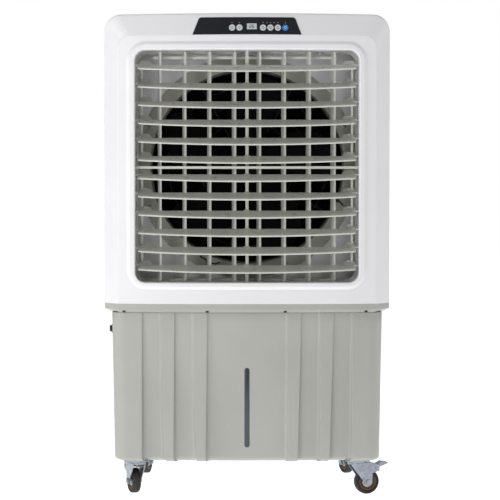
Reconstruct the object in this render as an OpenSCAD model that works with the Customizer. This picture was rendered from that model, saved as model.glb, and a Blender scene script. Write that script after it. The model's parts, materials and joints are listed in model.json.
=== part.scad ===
// Free-standing evaporative cooler: grey water tank on casters, white housing with a louvred
// air outlet. +Z is up, the outlet faces -Y, and the origin is on the ground under the middle.

/* [Overall] */
// Width over the housing sides
body_w = 722; // [716:1:728]
// Depth from the outlet lip to the back
body_d = 480; // [478:1:484]
// Height from the ground to the top
body_h = 1218; // [1216:1:1222]
// Height of the joint between deck and housing
seam_z = 490; // [488:1:492]
// How far the front bulges forward in the middle
bow = 18; // [16:1:19]
// Wall thickness of the moulded housing
wall = 3.5; // [3:0.5:4]

/* [Outlet] */
// Width of the air outlet
outlet_w = 562; // [560:1:564]
// Height of the air outlet
outlet_h = 582; // [580:1:584]
// Height of the outlet's middle
outlet_z = 835; // [834:1:836]
// Depth of the outlet duct
duct_d = 108; // [104:1:110]
// How far the lip round the outlet stands proud
lip_proud = 4; // [3:0.5:5]

/* [Louvres] */
// Distance between neighbouring blades
blade_pitch = 45.9; // [45.7:0.1:46]
// Blade width from pivot to front edge at the middle
blade_chord = 46; // [44:0.5:46.5]
// Blade slope at rest, front edge down
blade_tilt = 21; // [19:0.5:23]
// Distance from the blade pivot to its link pin
blade_lever = 25; // [24:0.5:26]
// Distance between neighbouring vanes
vane_pitch = 62.9; // [62:0.1:63]
// Vane turn at rest, rear edge to the left
vane_yaw = 8.5; // [7:0.5:10]
// Distance from the vane pivot to its link pin
vane_lever = 26; // [25:0.5:27]

/* [Fan] */
// Clear radius of the fan ring
ring_r = 250; // [248:1:252]
// Radius at the fan blade tips
fan_r = 240; // [236:1:242]
// Number of fan blades
fan_blades = 5; // [4:1:6]

/* [Tank] */
// Half width of the tank at its rim
tank_half = 343; // [342:1:344]
// Height of the tank rim
tank_top = 467; // [466:1:468]
// Height of the tank underside
tank_bottom = 89; // [88.5:0.5:89.5]
// Width of a side channel
channel_w = 44; // [42:1:46]
// Half width of the wide middle channel
middle_half = 99; // [98:1:101]

/* [Casters] */
// Wheel radius
wheel_r = 32; // [31.5:0.5:32]
// Wheel width
wheel_w = 22; // [20:1:23]
// Distance from swivel axis to axle
trail = 25; // [24:1:27]

/* [Hidden] */
BLADES = [for (i = [1:12]) str("blade_", i < 10 ? "0" : "", i)];
VANES = [for (i = [1:8]) str("vane_", i)];
CORNERS = ["front_left", "front_right", "rear_left", "rear_right"];
FORKS = [for (c = CORNERS) str("caster_fork_", c)];
WHEELS = [for (c = CORNERS) str("caster_wheel_", c)];
PEDALS = ["brake_pedal_left", "brake_pedal_right"];
BUTTONS = ["button_speed", "button_swing", "button_cool", "button_timer", "button_mode", "button_power"];

$fn = 96;
eps = 0.5;                       // overlap that makes a cut or a union clean
run = 0.05;                      // radial running clearance of a pin in its hole
half_w = body_w / 2;
face_half = half_w - 37;         // half width of the bowed front face
corner_d = 50;                   // depth of the vertical corner chamfers
lip_y = -body_d / 2;
face_y = lip_y + lip_proud;      // front face at the middle
back_y = body_d / 2;
bow_r = (pow(face_half, 2) + pow(bow, 2)) / (2 * bow);
band_z = 1163;                   // where the front leans back to meet the top
band_lean = 12;
split_y = -166;                  // joint between front moulding and housing shell
top_corner_r = 44;
blade_y = lip_y + 50;            // line of the blade pivots
bar_z = 837;                     // middle of the blade stack
blade_t = 2.5;
blade_half = outlet_w / 2 - 6;
rod_at = blade_half - 9;         // distance of a blade link rod from the middle
vane_y = lip_y + 72;            // line of the vane pivots
vane_t = 5;
duct_wall = 3;
duct_top = outlet_z + outlet_h / 2;
duct_bottom = outlet_z - outlet_h / 2;
link_z = 1111;                   // height of the vane link bar
crank_x = 3 * vane_pitch;        // swing motor axis, midway between the last two vanes
bulkhead_y = -70;                // front face of the fan bulkhead
swivel_x = 281;
swivel_y = 164;
plate_z = tank_bottom - 2.5;
// Heading of each caster: the direction from swivel axis to wheel, front left first
HEADINGS = [111, 17, 78, 112];
BUTTON_X = [-37.3, -18.8, 40, 58.5, 77, 95.5];
button_r = 7.75;
button_rise = 18.2;              // button height above the band's lower edge

// ---- shared outlines ----

// y of a bowed front whose middle is at front
function bow_y(x, front) = front + bow_r - sqrt(pow(bow_r, 2) - pow(x, 2));
function bow_points(half, front, n = 16) =
    [for (i = [0:n]) let (x = -half + 2 * half * i / n) [x, bow_y(x, front)]];
function arc(cx, cy, r, a0, a1, n = 8) =
    [for (i = [0:n]) let (a = a0 + (a1 - a0) * i / n) [cx + r * cos(a), cy + r * sin(a)]];

// Plan of the housing and deck, moved inward by inset
function housing_plan(inset = 0, back = back_y) = concat(
    bow_points(face_half - inset * 0.4, face_y + inset),
    [[half_w - inset, bow_y(face_half, face_y) + corner_d + inset * 0.4]],
    arc(half_w - 20, back - 20, 20 - min(inset, 19), 0, 90),
    arc(20 - half_w, back - 20, 20 - min(inset, 19), 90, 180),
    [[inset - half_w, bow_y(face_half, face_y) + corner_d + inset * 0.4]]);

// Plan of the tank: bowed front and round corners
function tank_plan(half, front, back, r = 38) = concat(
    bow_points(half - r, front, 12),
    arc(half - r, bow_y(half - r, front) + r, r, -84, 0, 6),
    arc(half - r, back - r, r, 0, 90, 6),
    arc(r - half, back - r, r, 90, 180, 6),
    arc(r - half, bow_y(half - r, front) + r, r, 180, 264, 6));

module front_profile(inset = 0) {
    top = body_h - inset;
    r = top_corner_r - inset;
    side = half_w - inset;
    polygon(concat([[-side, seam_z - 20], [side, seam_z - 20]],
        arc(side - r, top - 3 - r, r, 0, 82),
        [[0, top]],
        arc(r - side, top - 3 - r, r, 98, 180)));
}

// Turns a shape so that it leans back with the band above the outlet
module lean() {
    translate([0, face_y, band_z]) rotate([-band_lean, 0, 0]) children();
}

module along_y(y0, y1) {
    translate([0, y1, 0]) rotate([90, 0, 0]) linear_extrude(y1 - y0) children();
}

module rounded_window(w, h, r) {
    hull() for (x = [r - w / 2, w / 2 - r], y = [r - h / 2, h / 2 - r])
        translate([x, y]) circle(r, $fn = 32);
}

module outer_form(inset = 0) {
    intersection() {
        translate([0, 0, seam_z]) linear_extrude(body_h) polygon(housing_plan(inset));
        along_y(lip_y - 10, back_y + 10) front_profile(inset);
        lean() translate([0, -face_y, -body_h]) linear_extrude(2 * body_h)
            polygon(housing_plan(inset, back_y + 400));
    }
}

module housing_skin() {
    difference() {
        outer_form();
        translate([0, 0, -eps]) outer_form(wall);
    }
}

module slab(x0, x1, y0, y1, z0, z1) {
    translate([x0, y0, z0]) cube([x1 - x0, y1 - y0, z1 - z0]);
}

module rod_x(x0, x1, y, z, r) {
    translate([x0, y, z]) rotate([0, 90, 0]) cylinder(r = r, h = x1 - x0, $fn = 32);
}

module rod_y(x, y0, y1, z, r) {
    translate([x, y0, z]) rotate([-90, 0, 0]) cylinder(r = r, h = y1 - y0);
}

function blade_z(i) = bar_z + (5.5 - i) * blade_pitch;
function vane_x(i) = (i - 3.5) * vane_pitch;

// ---- housing ----

pad_z0 = seam_z;
pad_z1 = 1150;
grille_z0 = 505;
grille_z1 = 1145;
side_y0 = -60;
side_y1 = 185;
rear_half = 300;

module housing_shell() {
    color("whitesmoke") {
        difference() {
            housing_skin();
            slab(-half_w, half_w, lip_y - 10, split_y, seam_z - 1, body_h);
            slab(-rear_half, rear_half, back_y - 10, back_y + 10, grille_z0, grille_z1);
            slab(-half_w - 1, half_w + 1, side_y0, side_y1, grille_z0, grille_z1);
        }
        difference() {
            slab(wall - half_w - eps, half_w - wall + eps, bulkhead_y, bulkhead_y + 4,
                 seam_z, body_h - 60);
            rod_y(0, bulkhead_y - 1, bulkhead_y + 5, outlet_z, ring_r + 18);
        }
    }
}

module lip() {
    intersection() {
        along_y(lip_y - 1, lip_y + 60) difference() {
            translate([0, outlet_z + 1.8]) rounded_window(605, 621.5, 50);
            translate([0, outlet_z]) rounded_window(outlet_w, outlet_h, 26);
        }
        translate([0, 0, duct_bottom - 40]) linear_extrude(outlet_h + 80) polygon(concat(
            bow_points(face_half - 4, lip_y),
            [for (p = bow_points(face_half - 4, face_y + wall)) [-p[0], p[1]]]));
    }
}

module duct() {
    difference() {
        along_y(lip_y + 4, lip_y + duct_d) difference() {
            translate([0, outlet_z])
                rounded_window(outlet_w + 2 * duct_wall, outlet_h + 2 * duct_wall, 29);
            translate([0, outlet_z]) rounded_window(outlet_w, outlet_h, 26);
        }
        // trimmed back to the bowed face
        translate([0, 0, duct_bottom - 10]) linear_extrude(outlet_h + 20)
            polygon(concat([[-half_w, lip_y - 10]], bow_points(face_half, lip_y + 1),
                [[half_w, lip_y - 10]]));
    }
}

module panel_outline() {
    polygon(concat([[-136, 1], [136, 1]], arc(114, 37, 8, 15, 90), arc(-114, 37, 8, 90, 165)));
}

module bow_sheet(front, thickness) {
    linear_extrude(60) polygon(concat(bow_points(150, front),
        [for (p = bow_points(150, front + thickness)) [-p[0], p[1]]]));
}

module panel_plate(front, thickness) {
    intersection() {
        bow_sheet(front, thickness);
        along_y(-20, 40) panel_outline();
    }
}

module button_holes() {
    for (x = BUTTON_X) rod_y(x, -10, 20, button_rise, button_r + 0.3);
}

module front_bezel() {
    color("white") difference() {
        union() {
            difference() {
                housing_skin();
                slab(-half_w - 1, half_w + 1, split_y, back_y + 10, seam_z - 10, body_h + 10);
                along_y(lip_y - 10, split_y + 10) translate([0, outlet_z])
                    rounded_window(outlet_w + 2, outlet_h + 2, 27);
            }
            lip();
            duct();
        }
        lean() panel_plate(-1, 2.2);
        lean() button_holes();
        for (i = [0:11], s = [-1, 1])
            rod_x(s > 0 ? outlet_w / 2 - 1 : -outlet_w / 2 - 5, s > 0 ? outlet_w / 2 + 5 : 1 - outlet_w / 2,
                  blade_y, blade_z(i), 2.5 + run);
        for (i = [0:7]) translate([vane_x(i), vane_y, duct_bottom - 10])
            cylinder(r = 2.5 + run, h = outlet_h + 20, $fn = 32);
        slab(crank_x - 17, crank_x + 17, vane_y + 11, vane_y + 36, duct_top - 5, duct_top + 5);
    }
}

module control_panel() {
    color([0.11, 0.12, 0.15]) difference() {
        lean() panel_plate(-1, 2.2);
        lean() button_holes();
        lean() slab(-1, 25, -3, 0.2, 13, 29);
    }
    color("gainsboro") lean() slab(-1, 25, -1.3, 0.2, 13, 29);
}

module button(i) {
    color(i == 5 ? "dodgerblue" : "gainsboro") lean()
        rod_y(BUTTON_X[i], bow_y(BUTTON_X[i], 0) - 2.4, bow_y(BUTTON_X[i], 0) + 9, button_rise, button_r);
}

// ---- louvres ----

module louver_frame() {
    color("darkgray") {
        slab(-4, 4, blade_y + 6.5, blade_y + 19, duct_bottom, duct_top);
        // rim behind the duct
        along_y(lip_y + duct_d, lip_y + duct_d + 12) difference() {
            translate([0, outlet_z]) rounded_window(outlet_w + 2 * duct_wall, outlet_h + 2 * duct_wall, 29);
            translate([0, outlet_z]) rounded_window(outlet_w - 9, outlet_h - 9, 22);
        }
        slab(-4, 4, blade_y + 18, lip_y + duct_d + 12, duct_top - 5, duct_top);
        slab(-4, 4, blade_y + 18, lip_y + duct_d + 12, duct_bottom, duct_bottom + 5);
        // the bar is bowed like the blades
        translate([0, 0, bar_z - 8]) linear_extrude(6.5) polygon(concat(
            bow_points(outlet_w / 2, blade_y - 18), [[outlet_w / 2, blade_y + 7.5],
            [-outlet_w / 2, blade_y + 7.5]]));
    }
}

// Front edge of a blade: an arc that is 20 mm deeper in the middle than at the ends
blade_front_r = (pow(blade_half, 2) + 400) / 40;
function blade_edge(x, back) = -blade_chord + back + blade_front_r - sqrt(pow(blade_front_r, 2) - pow(x, 2));

module blade_outline(back0, back1) {
    x1 = blade_half - 2;
    polygon(concat(
        [for (i = [-14:14]) [x1 * i / 14, blade_edge(x1 * i / 14, back0)]],
        back1 > 10 ? [[blade_half, blade_edge(blade_half, 4)], [blade_half, 0], [-blade_half, 0],
            [-blade_half, blade_edge(blade_half, 4)]]
        : [for (i = [14:-1:-14]) [x1 * i / 14, blade_edge(x1 * i / 14, back1)]]));
}

module blade(i) {
    color("gray") translate([0, blade_y, blade_z(i)]) rotate([blade_tilt, 0, 0]) {
        translate([0, 0, -blade_t / 2]) linear_extrude(blade_t) blade_outline(0, 20);
        translate([0, 0, -2.9]) linear_extrude(4.3) blade_outline(0, 4);
        for (s = [-1, 1]) {
            slab(s * 252.5 - 9.5, s * 252.5 + 9.5, -2, blade_lever + 4, -blade_t / 2, blade_t / 2);
            rod_x(s > 0 ? 258 : -rod_at - 4.5, s > 0 ? rod_at + 4.5 : -258, blade_lever, 0, 2);
            rod_x(s > 0 ? 270 : -outlet_w / 2 - 2.5, s > 0 ? outlet_w / 2 + 2.5 : -270, 0, 0, 2.5);
        }
        translate([0, -5, -blade_t / 2]) cylinder(r = 10.5, h = blade_t, $fn = 40);
    }
}

module blade_link(first) {
    rise = blade_lever * sin(blade_tilt);
    back = blade_lever * cos(blade_tilt);
    for (s = [-1, 1]) color("darkgray") difference() {
        union() {
            slab(s * rod_at - 3, s * rod_at + 3, blade_y + back - 2, blade_y + back + 2,
                 blade_z(first + 5) + rise, blade_z(first) + rise);
            for (i = [first:first + 5])
                rod_x(s * rod_at - 3, s * rod_at + 3, blade_y + back, blade_z(i) + rise, 4.3);
        }
        for (i = [first:first + 5])
            rod_x(s * rod_at - 4, s * rod_at + 4, blade_y + back, blade_z(i) + rise, 2 + run);
    }
}

module vane(i) {
    color([0.72, 0.72, 0.69]) translate([vane_x(i), vane_y, 0]) rotate([0, 0, vane_yaw]) {
        difference() {
            slab(-vane_t / 2, vane_t / 2, -12, 33, duct_bottom + 3, duct_top - 3);
            slab(-vane_t, vane_t, 17, 34, link_z - 9, link_z + 9);
        }
        translate([0, vane_lever, link_z - 15]) cylinder(r = 2, h = 21, $fn = 32);
        for (z = [duct_bottom - 2.5, duct_top - 10])
            translate([0, 0, z]) cylinder(r = 2.5, h = 12.5, $fn = 32);
        translate([0, vane_lever, link_z - 12]) cylinder(r = 4.5, h = 4, $fn = 32);
    }
}

pin_dx = -vane_lever * sin(vane_yaw);
pin_dy = vane_lever * cos(vane_yaw);

module vane_link() {
    color("gray") difference() {
        union() {
            slab(vane_x(0) + pin_dx - 15, vane_x(7) + pin_dx + 11, vane_y + pin_dy - 3, vane_y + pin_dy + 3,
                 link_z - 3.5, link_z + 3.5);
            for (x = [for (i = [0:7]) vane_x(i), crank_x])
                translate([x + pin_dx, vane_y + pin_dy, link_z - 3.5])
                cylinder(r = 5, h = 7, $fn = 32);
        }
        for (x = [for (i = [0:7]) vane_x(i), crank_x]) translate([x + pin_dx, vane_y + pin_dy, link_z - 4])
            cylinder(r = 2 + run, h = 8, $fn = 32);
    }
}

module swing_crank() {
    color("lightgray") translate([crank_x, vane_y, 0]) rotate([0, 0, vane_yaw]) {
        translate([0, 0, duct_top + 7]) cylinder(r = 9, h = 5);
        slab(-5, 5, 0, vane_lever, duct_top + 7, duct_top + 12);
        translate([0, vane_lever, duct_top + 7]) cylinder(r = 5, h = 5);
        translate([0, vane_lever, link_z - 5]) cylinder(r = 2, h = duct_top - link_z + 13);
        translate([0, vane_lever, link_z + 13]) sphere(r = 4);
        translate([0, 0, duct_top + 11]) cylinder(r = 3, h = 10);
    }
}

module swing_motor() {
    color("silver") difference() {
        union() {
            slab(crank_x - 32, crank_x + 32, vane_y - 20, vane_y + 20, duct_top + 17, duct_top + 42);
            for (s = [-1, 1])
                slab(crank_x + s * 30 - 2, crank_x + s * 30 + 2, vane_y - 20, vane_y + 20,
                     duct_top + duct_wall, duct_top + 18);
        }
        translate([crank_x, vane_y, duct_top + 16]) cylinder(r = 3 + run, h = 8);
    }
}

// ---- air path ----

module fan_ring() {
    color("dimgray") rotate([90, 0, 0]) translate([0, outlet_z, 0]) difference() {
        union() {
            translate([0, 0, -bulkhead_y]) cylinder(r = ring_r + 36, h = 4);
            translate([0, 0, -25]) cylinder(r = ring_r + 4, h = -bulkhead_y + 28);
        }
        translate([0, 0, -30]) cylinder(r = ring_r, h = 120);
    }
}

module fan_motor() {
    color("darkgray") difference() {
        union() {
            rod_y(0, 31, 108, outlet_z, 60);
            rod_y(0, -40, 32, outlet_z, 6);
        }
        rod_y(0, 100, 110, outlet_z, 20);
    }
}

module fan_guard() {
    color("dimgray") {
        for (r = [80, 122, 165, 208, 249]) translate([0, 28, outlet_z]) rotate([90, 0, 0])
            rotate_extrude() translate([r, 0]) circle(1.6, $fn = 16);
        for (a = [0:30:330]) translate([0, 28, outlet_z]) rotate([0, a, 0])
            translate([0, 0, 70]) cylinder(r = 2, h = 182, $fn = 16);
        difference() {
            rod_y(0, 25, 31, outlet_z, 76);
            rod_y(0, 24, 32, outlet_z, 52);
        }
        difference() {
            rod_y(0, 25, 31, outlet_z, ring_r + 4);
            rod_y(0, 24, 32, outlet_z, ring_r - 2);
        }
    }
}

module fan_blade() {
    translate([0, -16, 0]) rotate([0, 0, 28]) rotate([90, 0, 0]) translate([0, 0, -2]) linear_extrude(4)
        polygon(concat([[-30, 40], [32, 40]], arc(20, 180, 52, 0, 70, 5), arc(-12, 190, 44, 100, 180, 5)));
}

module fan_rotor() {
    color("dimgray") translate([0, 0, outlet_z]) difference() {
        union() {
            rod_y(0, -44, 18, 0, 52);
            intersection() {
                for (k = [0:fan_blades - 1]) rotate([0, k * 360 / fan_blades, 0]) fan_blade();
                rod_y(0, -60, 20, 0, fan_r);
            }
        }
        rod_y(0, -41, 19, 0, 6 + run);
        rod_y(0, -14, 19, 0, 44);
    }
}

module cooling_pads() {
    color("tan") {
        slab(-290, 290, 188, 226, pad_z0, pad_z1);
        for (s = [-1, 1]) slab(s * 330 - 18, s * 330 + 18, side_y0 + 5, side_y1 - 1, pad_z0, pad_z1);
    }
}

module louvre_grille(w, h) {
    slats = 22;
    difference() {
        slab(-w / 2, w / 2, 0, 8, 0, h);
        slab(14 - w / 2, w / 2 - 14, -1, 9, 14, h - 14);
    }
    for (k = [1:slats - 1]) translate([0, 4, k * h / slats]) rotate([35, 0, 0])
        translate([12 - w / 2, -4, -1]) cube([w - 24, 8, 2]);
    for (k = [-1:1]) slab(k * w / 4 - 2, k * w / 4 + 2, 5, 8, 5, h - 5);
}

module intake_grilles() {
    h = grille_z1 - grille_z0;
    color("whitesmoke") {
        translate([0, back_y - 8, grille_z0]) louvre_grille(2 * rear_half, h);
        for (s = [-1, 1]) translate([s * (half_w - 8), (side_y0 + side_y1) / 2, grille_z0])
            rotate([0, 0, s * -90]) louvre_grille(side_y1 - side_y0, h);
    }
}

module water_distributor() {
    color("whitesmoke") difference() {
        union() {
            slab(-345, 345, 188, 226, pad_z1, pad_z1 + 24);
            for (s = [-1, 1]) slab(s * 330 - 18, s * 330 + 18, side_y0 + 5, 226, pad_z1, pad_z1 + 24);
        }
        slab(-340, 340, 193, 221, pad_z1 + 4, pad_z1 + 25);
        for (s = [-1, 1]) slab(s * 330 - 13, s * 330 + 13, side_y0 + 10, 221, pad_z1 + 4, pad_z1 + 25);
    }
}

pump_x = 230;
pump_y = 150;
hose_r = 7;
pump_top = tank_bottom + 84;

module pump() {
    color([0.15, 0.15, 0.16]) {
        translate([pump_x, pump_y, tank_bottom + 4]) cylinder(r = 36, h = 70);
        translate([pump_x, pump_y, pump_top - 11]) cylinder(r = 8, h = 11);
    }
}

// Hose from the pump up to the distributor, bent over its rim
module riser_hose() {
    top = pad_z1 + 40;
    bend_r = 25;
    run_in = bend_r - 1;
    color([0.2, 0.2, 0.22]) {
        translate([pump_x, pump_y, pump_top]) cylinder(r = hose_r, h = top - run_in - pump_top);
        translate([pump_x, pump_y + bend_r, top - bend_r]) rotate([0, -90, 180]) rotate_extrude(angle = 180)
            translate([bend_r, 0]) circle(hose_r + 0.6, $fn = 32);
        translate([pump_x, pump_y + 2 * bend_r, pad_z1 + 8])
            cylinder(r = hose_r, h = top - run_in - pad_z1 - 8);
    }
}

// ---- deck and tank ----

module base_deck() {
    color([0.71, 0.71, 0.69]) difference() {
        union() {
            hull() {
                translate([0, 0, seam_z - 14]) linear_extrude(14) polygon(housing_plan());
                translate([0, 0, tank_top + 1]) linear_extrude(1) polygon(housing_plan(15));
            }
            translate([0, 0, tank_top]) linear_extrude(10)
                polygon(tank_plan(tank_half - 3, tank_front + 3, tank_back - 3));
        }
        translate([0, 0, tank_top - 1]) linear_extrude(30)
            polygon(tank_plan(tank_half - 40, face_y + 60, back_y - 60));
    }
}

tank_front = lip_y + 20;
tank_back = back_y - 20;
tank_wall = 4;

module tank_form(inset) {
    low = tank_bottom + inset;
    hull() {
        translate([0, 0, low]) linear_extrude(1)
            polygon(tank_plan(tank_half - 18 - inset, tank_front + 8 + inset, tank_back - 8 - inset,
                38 - inset));
        translate([0, 0, low + 14]) linear_extrude(1)
            polygon(tank_plan(tank_half - 6 - inset, tank_front + 2 + inset, tank_back - 2 - inset,
                38 - inset));
        translate([0, 0, tank_top - 1 + inset]) linear_extrude(1)
            polygon(tank_plan(tank_half - inset, tank_front + inset, tank_back - inset, 38 - inset));
    }
}

// A channel that deepens towards the foot, cut into a wall that faces -Y at the given front
module channel(half, front, grow) {
    translate([-half - grow, front, 0]) rotate([90, 0, 90]) linear_extrude(2 * (half + grow))
        polygon([[-20, tank_bottom - 5], [17 + grow, tank_bottom - 5], [3.5 + grow, tank_top + 5],
            [-20, tank_top + 5]]);
}

module channels(grow) {
    channel(middle_half, tank_front, grow);
    for (x = [-242, -160, 160, 242]) translate([x, 0, 0])
        channel(channel_w / 2, bow_y(x, tank_front), grow);
    for (s = [-1, 1], v = [-75, 75]) rotate([0, 0, s * 90]) translate([v, 0, 0])
        channel(channel_w / 2, -tank_half, grow);
    rotate([0, 0, 180]) for (x = [-160, 0, 160]) translate([x, 0, 0])
        channel(channel_w / 2, -tank_back, grow);
}

window_z0 = 125;
window_z1 = 326;
// The window stands in the sloping floor of the middle channel
channel_slope = atan((17 - 3.5) / (tank_top - tank_bottom + 10));

module window_slab(thickness) {
    translate([0, tank_front + 3.5, tank_top + 5]) rotate([channel_slope, 0, 0])
        translate([0, 0, -tank_top - 5])
        along_y(-0.4, thickness) hull() for (z = [window_z0 + 5.5, window_z1 - 5.5])
            translate([0, z]) circle(5.5, $fn = 32);
}

inlet_y = -90;
inlet_z = 418;
float_x = -292;                  // hinge of the float arm

module water_tank() {
    color([0.7, 0.71, 0.69]) difference() {
        tank_form(0);
        channels(0);
        difference() {
            tank_form(tank_wall);
            channels(tank_wall);
        }
        window_slab(8);
        rod_x(-half_w, -tank_half + 20, inlet_y, inlet_z, 8.35);
        rod_y(-200, tank_back - 20, tank_back + 5, 112, 12);
    }
}

module level_window() {
    color([0.27, 0.3, 0.35]) window_slab(tank_wall);
}

module tank_fittings() {
    color([0.12, 0.12, 0.13]) {
        rod_x(-354, -tank_half + 44, inlet_y, inlet_z, 8.35);
        difference() {
            rod_x(-349, -342.6, inlet_y, inlet_z, 11);
            rod_x(-360, -340, inlet_y, inlet_z, 8);
        }
        difference() {
            slab(-322, -286, inlet_y - 14, inlet_y + 14, inlet_z - 14, inlet_z + 14);
            slab(-300, -285, inlet_y - 10, inlet_y + 10, inlet_z - 15, inlet_z + 15);
            rod_y(float_x, inlet_y - 15, inlet_y + 15, inlet_z, 3 + run);
        }
        rod_y(-200, tank_back - 12, tank_back + 6, 112, 12);
        rod_y(-200, tank_back - 1, tank_back + 8, 112, 17);
    }
}

module float_arm() {
    color("silver") translate([float_x, inlet_y, inlet_z]) {
        rod_y(0, -14, 14, 0, 3);
        rod_x(0, 110, 0, 0, 3);
        translate([110, 0, 0]) sphere(r = 30);
    }
}

// ---- casters ----

module at_corner(k) {
    translate([k % 2 == 0 ? -swivel_x : swivel_x, k < 2 ? -swivel_y : swivel_y, 0]) children();
}

module at_heading(k) {
    at_corner(k) rotate([0, 0, HEADINGS[k]]) children();
}

fork_top = plate_z - 4.8;
axle_r = 4;
bolt_x = 23;
bolt_y = 19;

module caster_plates() {
    for (k = [0:3]) color("silver") at_corner(k) difference() {
        union() {
            slab(-30, 30, -26, 26, plate_z, tank_bottom);
            translate([0, 0, fork_top + 0.4]) cylinder(r = 22, h = 5);
            translate([0, 0, fork_top - 10]) cylinder(r = axle_r, h = 12);
        }
        for (x = [-bolt_x, bolt_x], y = [-bolt_y, bolt_y]) translate([x, y, plate_z - 1])
            cylinder(r = 3.3, h = 5);
    }
}

pedal_u = 47;
pedal_z = 68;

module fork_side(braked) {
    translate([0, 1.25, 0]) rotate([90, 0, 0]) linear_extrude(2.5) polygon(concat(
        [[-20, fork_top], [-20, fork_top - 6]],
        arc(trail, wheel_r, 10, 200, 340, 8),
        [[trail + 11, wheel_r + 22]],
        braked ? [[pedal_u + 8, pedal_z - 8], [pedal_u + 8, pedal_z + 6]] : [[trail + 12, fork_top - 8]],
        [[trail + 8, fork_top]]));
}

module caster_fork(k) {
    color("silver") at_heading(k) difference() {
        union() {
            slab(-20, trail + 6, -17, 17, fork_top - 3, fork_top);
            translate([0, 0, fork_top - 4]) cylinder(r = 23, h = 4);
            for (s = [-1, 1]) translate([0, s * 15.75, 0]) fork_side(k < 2);
            rod_y(trail, -20, 20, wheel_r, axle_r);
            for (y = [-20, 17]) translate([trail, y, wheel_r]) rotate([-90, 0, 0])
                cylinder(r = 7, h = 3, $fn = 6);
        }
        translate([0, 0, fork_top - 12]) cylinder(r = axle_r + run, h = 14);
        if (k < 2) rod_y(pedal_u, -20, 20, pedal_z, 3 + run);
    }
}

module caster_wheel(k) {
    color([0.12, 0.13, 0.15]) at_heading(k) translate([trail, 0, wheel_r]) rotate([90, 0, 0]) rotate_extrude()
        polygon([[axle_r + run, -13], [11, -13], [11, -8], [20, -8], [22, -wheel_w / 2], [29, -wheel_w / 2],
            [wheel_r, 3 - wheel_w / 2], [wheel_r, wheel_w / 2 - 3], [29, wheel_w / 2], [22, wheel_w / 2],
            [20, 8], [11, 8], [11, 13], [axle_r + run, 13]]);
}

module brake_pedal(k) {
    color("silver") at_heading(k) {
        rod_y(pedal_u, -18.5, 18.5, pedal_z, 3);
        rod_y(pedal_u, -13.5, 13.5, pedal_z, 5.5);
        translate([0, 12, 0]) rotate([90, 0, 0]) linear_extrude(24)
            polygon([[pedal_u, pedal_z - 3], [79, 77], [79, 80], [64, 82], [pedal_u, pedal_z + 5]]);
    }
}

water_tank();
base_deck();
housing_shell();
front_bezel();
louver_frame();
control_panel();
level_window();
fan_ring();
fan_motor();
fan_guard();
cooling_pads();
intake_grilles();
water_distributor();
pump();
riser_hose();
tank_fittings();
swing_motor();
caster_plates();
for (i = [0:11]) blade(i);
blade_link(0);  // blade_link_upper
blade_link(6);  // blade_link_lower
for (i = [0:7]) vane(i);
vane_link();
swing_crank();
fan_rotor();
float_arm();
for (k = [0:3]) caster_fork(k);
for (k = [0:3]) caster_wheel(k);
for (k = [0:1]) brake_pedal(k);
for (i = [0:5]) button(i);
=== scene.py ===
"""Looks of the evaporative cooler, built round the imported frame. Metres, +Z up, outlet towards -Y."""
import json
import math

import bmesh
import bpy
from mathutils import Matrix, Vector


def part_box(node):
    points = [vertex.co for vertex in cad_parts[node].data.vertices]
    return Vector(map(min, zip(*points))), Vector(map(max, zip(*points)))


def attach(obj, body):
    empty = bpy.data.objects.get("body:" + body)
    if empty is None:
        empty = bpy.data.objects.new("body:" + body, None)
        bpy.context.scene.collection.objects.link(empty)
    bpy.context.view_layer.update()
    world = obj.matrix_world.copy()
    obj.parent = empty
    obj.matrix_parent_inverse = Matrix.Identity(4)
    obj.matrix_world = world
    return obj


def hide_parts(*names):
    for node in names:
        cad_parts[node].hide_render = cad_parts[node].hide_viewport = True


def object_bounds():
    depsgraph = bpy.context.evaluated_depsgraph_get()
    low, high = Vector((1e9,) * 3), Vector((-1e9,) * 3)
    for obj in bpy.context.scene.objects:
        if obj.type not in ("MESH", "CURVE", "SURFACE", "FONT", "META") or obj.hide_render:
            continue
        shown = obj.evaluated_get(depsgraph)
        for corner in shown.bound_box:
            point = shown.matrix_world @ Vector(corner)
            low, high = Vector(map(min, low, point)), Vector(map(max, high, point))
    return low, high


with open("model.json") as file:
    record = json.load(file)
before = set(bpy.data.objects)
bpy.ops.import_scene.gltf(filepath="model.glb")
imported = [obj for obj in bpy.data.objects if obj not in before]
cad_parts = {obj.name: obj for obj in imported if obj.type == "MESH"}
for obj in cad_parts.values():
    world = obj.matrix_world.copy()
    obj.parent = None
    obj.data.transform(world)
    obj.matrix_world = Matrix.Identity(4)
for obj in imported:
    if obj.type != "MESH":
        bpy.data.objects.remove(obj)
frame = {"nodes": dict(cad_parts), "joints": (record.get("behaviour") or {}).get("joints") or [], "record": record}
cad_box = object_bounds()
NODES = frame["nodes"]
ROOT = "cooler"
SLOT = {s["node"]: s["material_slot"] for s in frame["record"]["subparts"]}
BODY = {n: b for b, members in frame["record"]["behaviour"]["bodies"].items() for n in members}
MM = 0.001

BOX_FACES = [(0, 1, 2, 3), (4, 5, 6, 7), (0, 1, 5, 4), (1, 2, 6, 5), (2, 3, 7, 6), (3, 0, 4, 7)]

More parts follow.
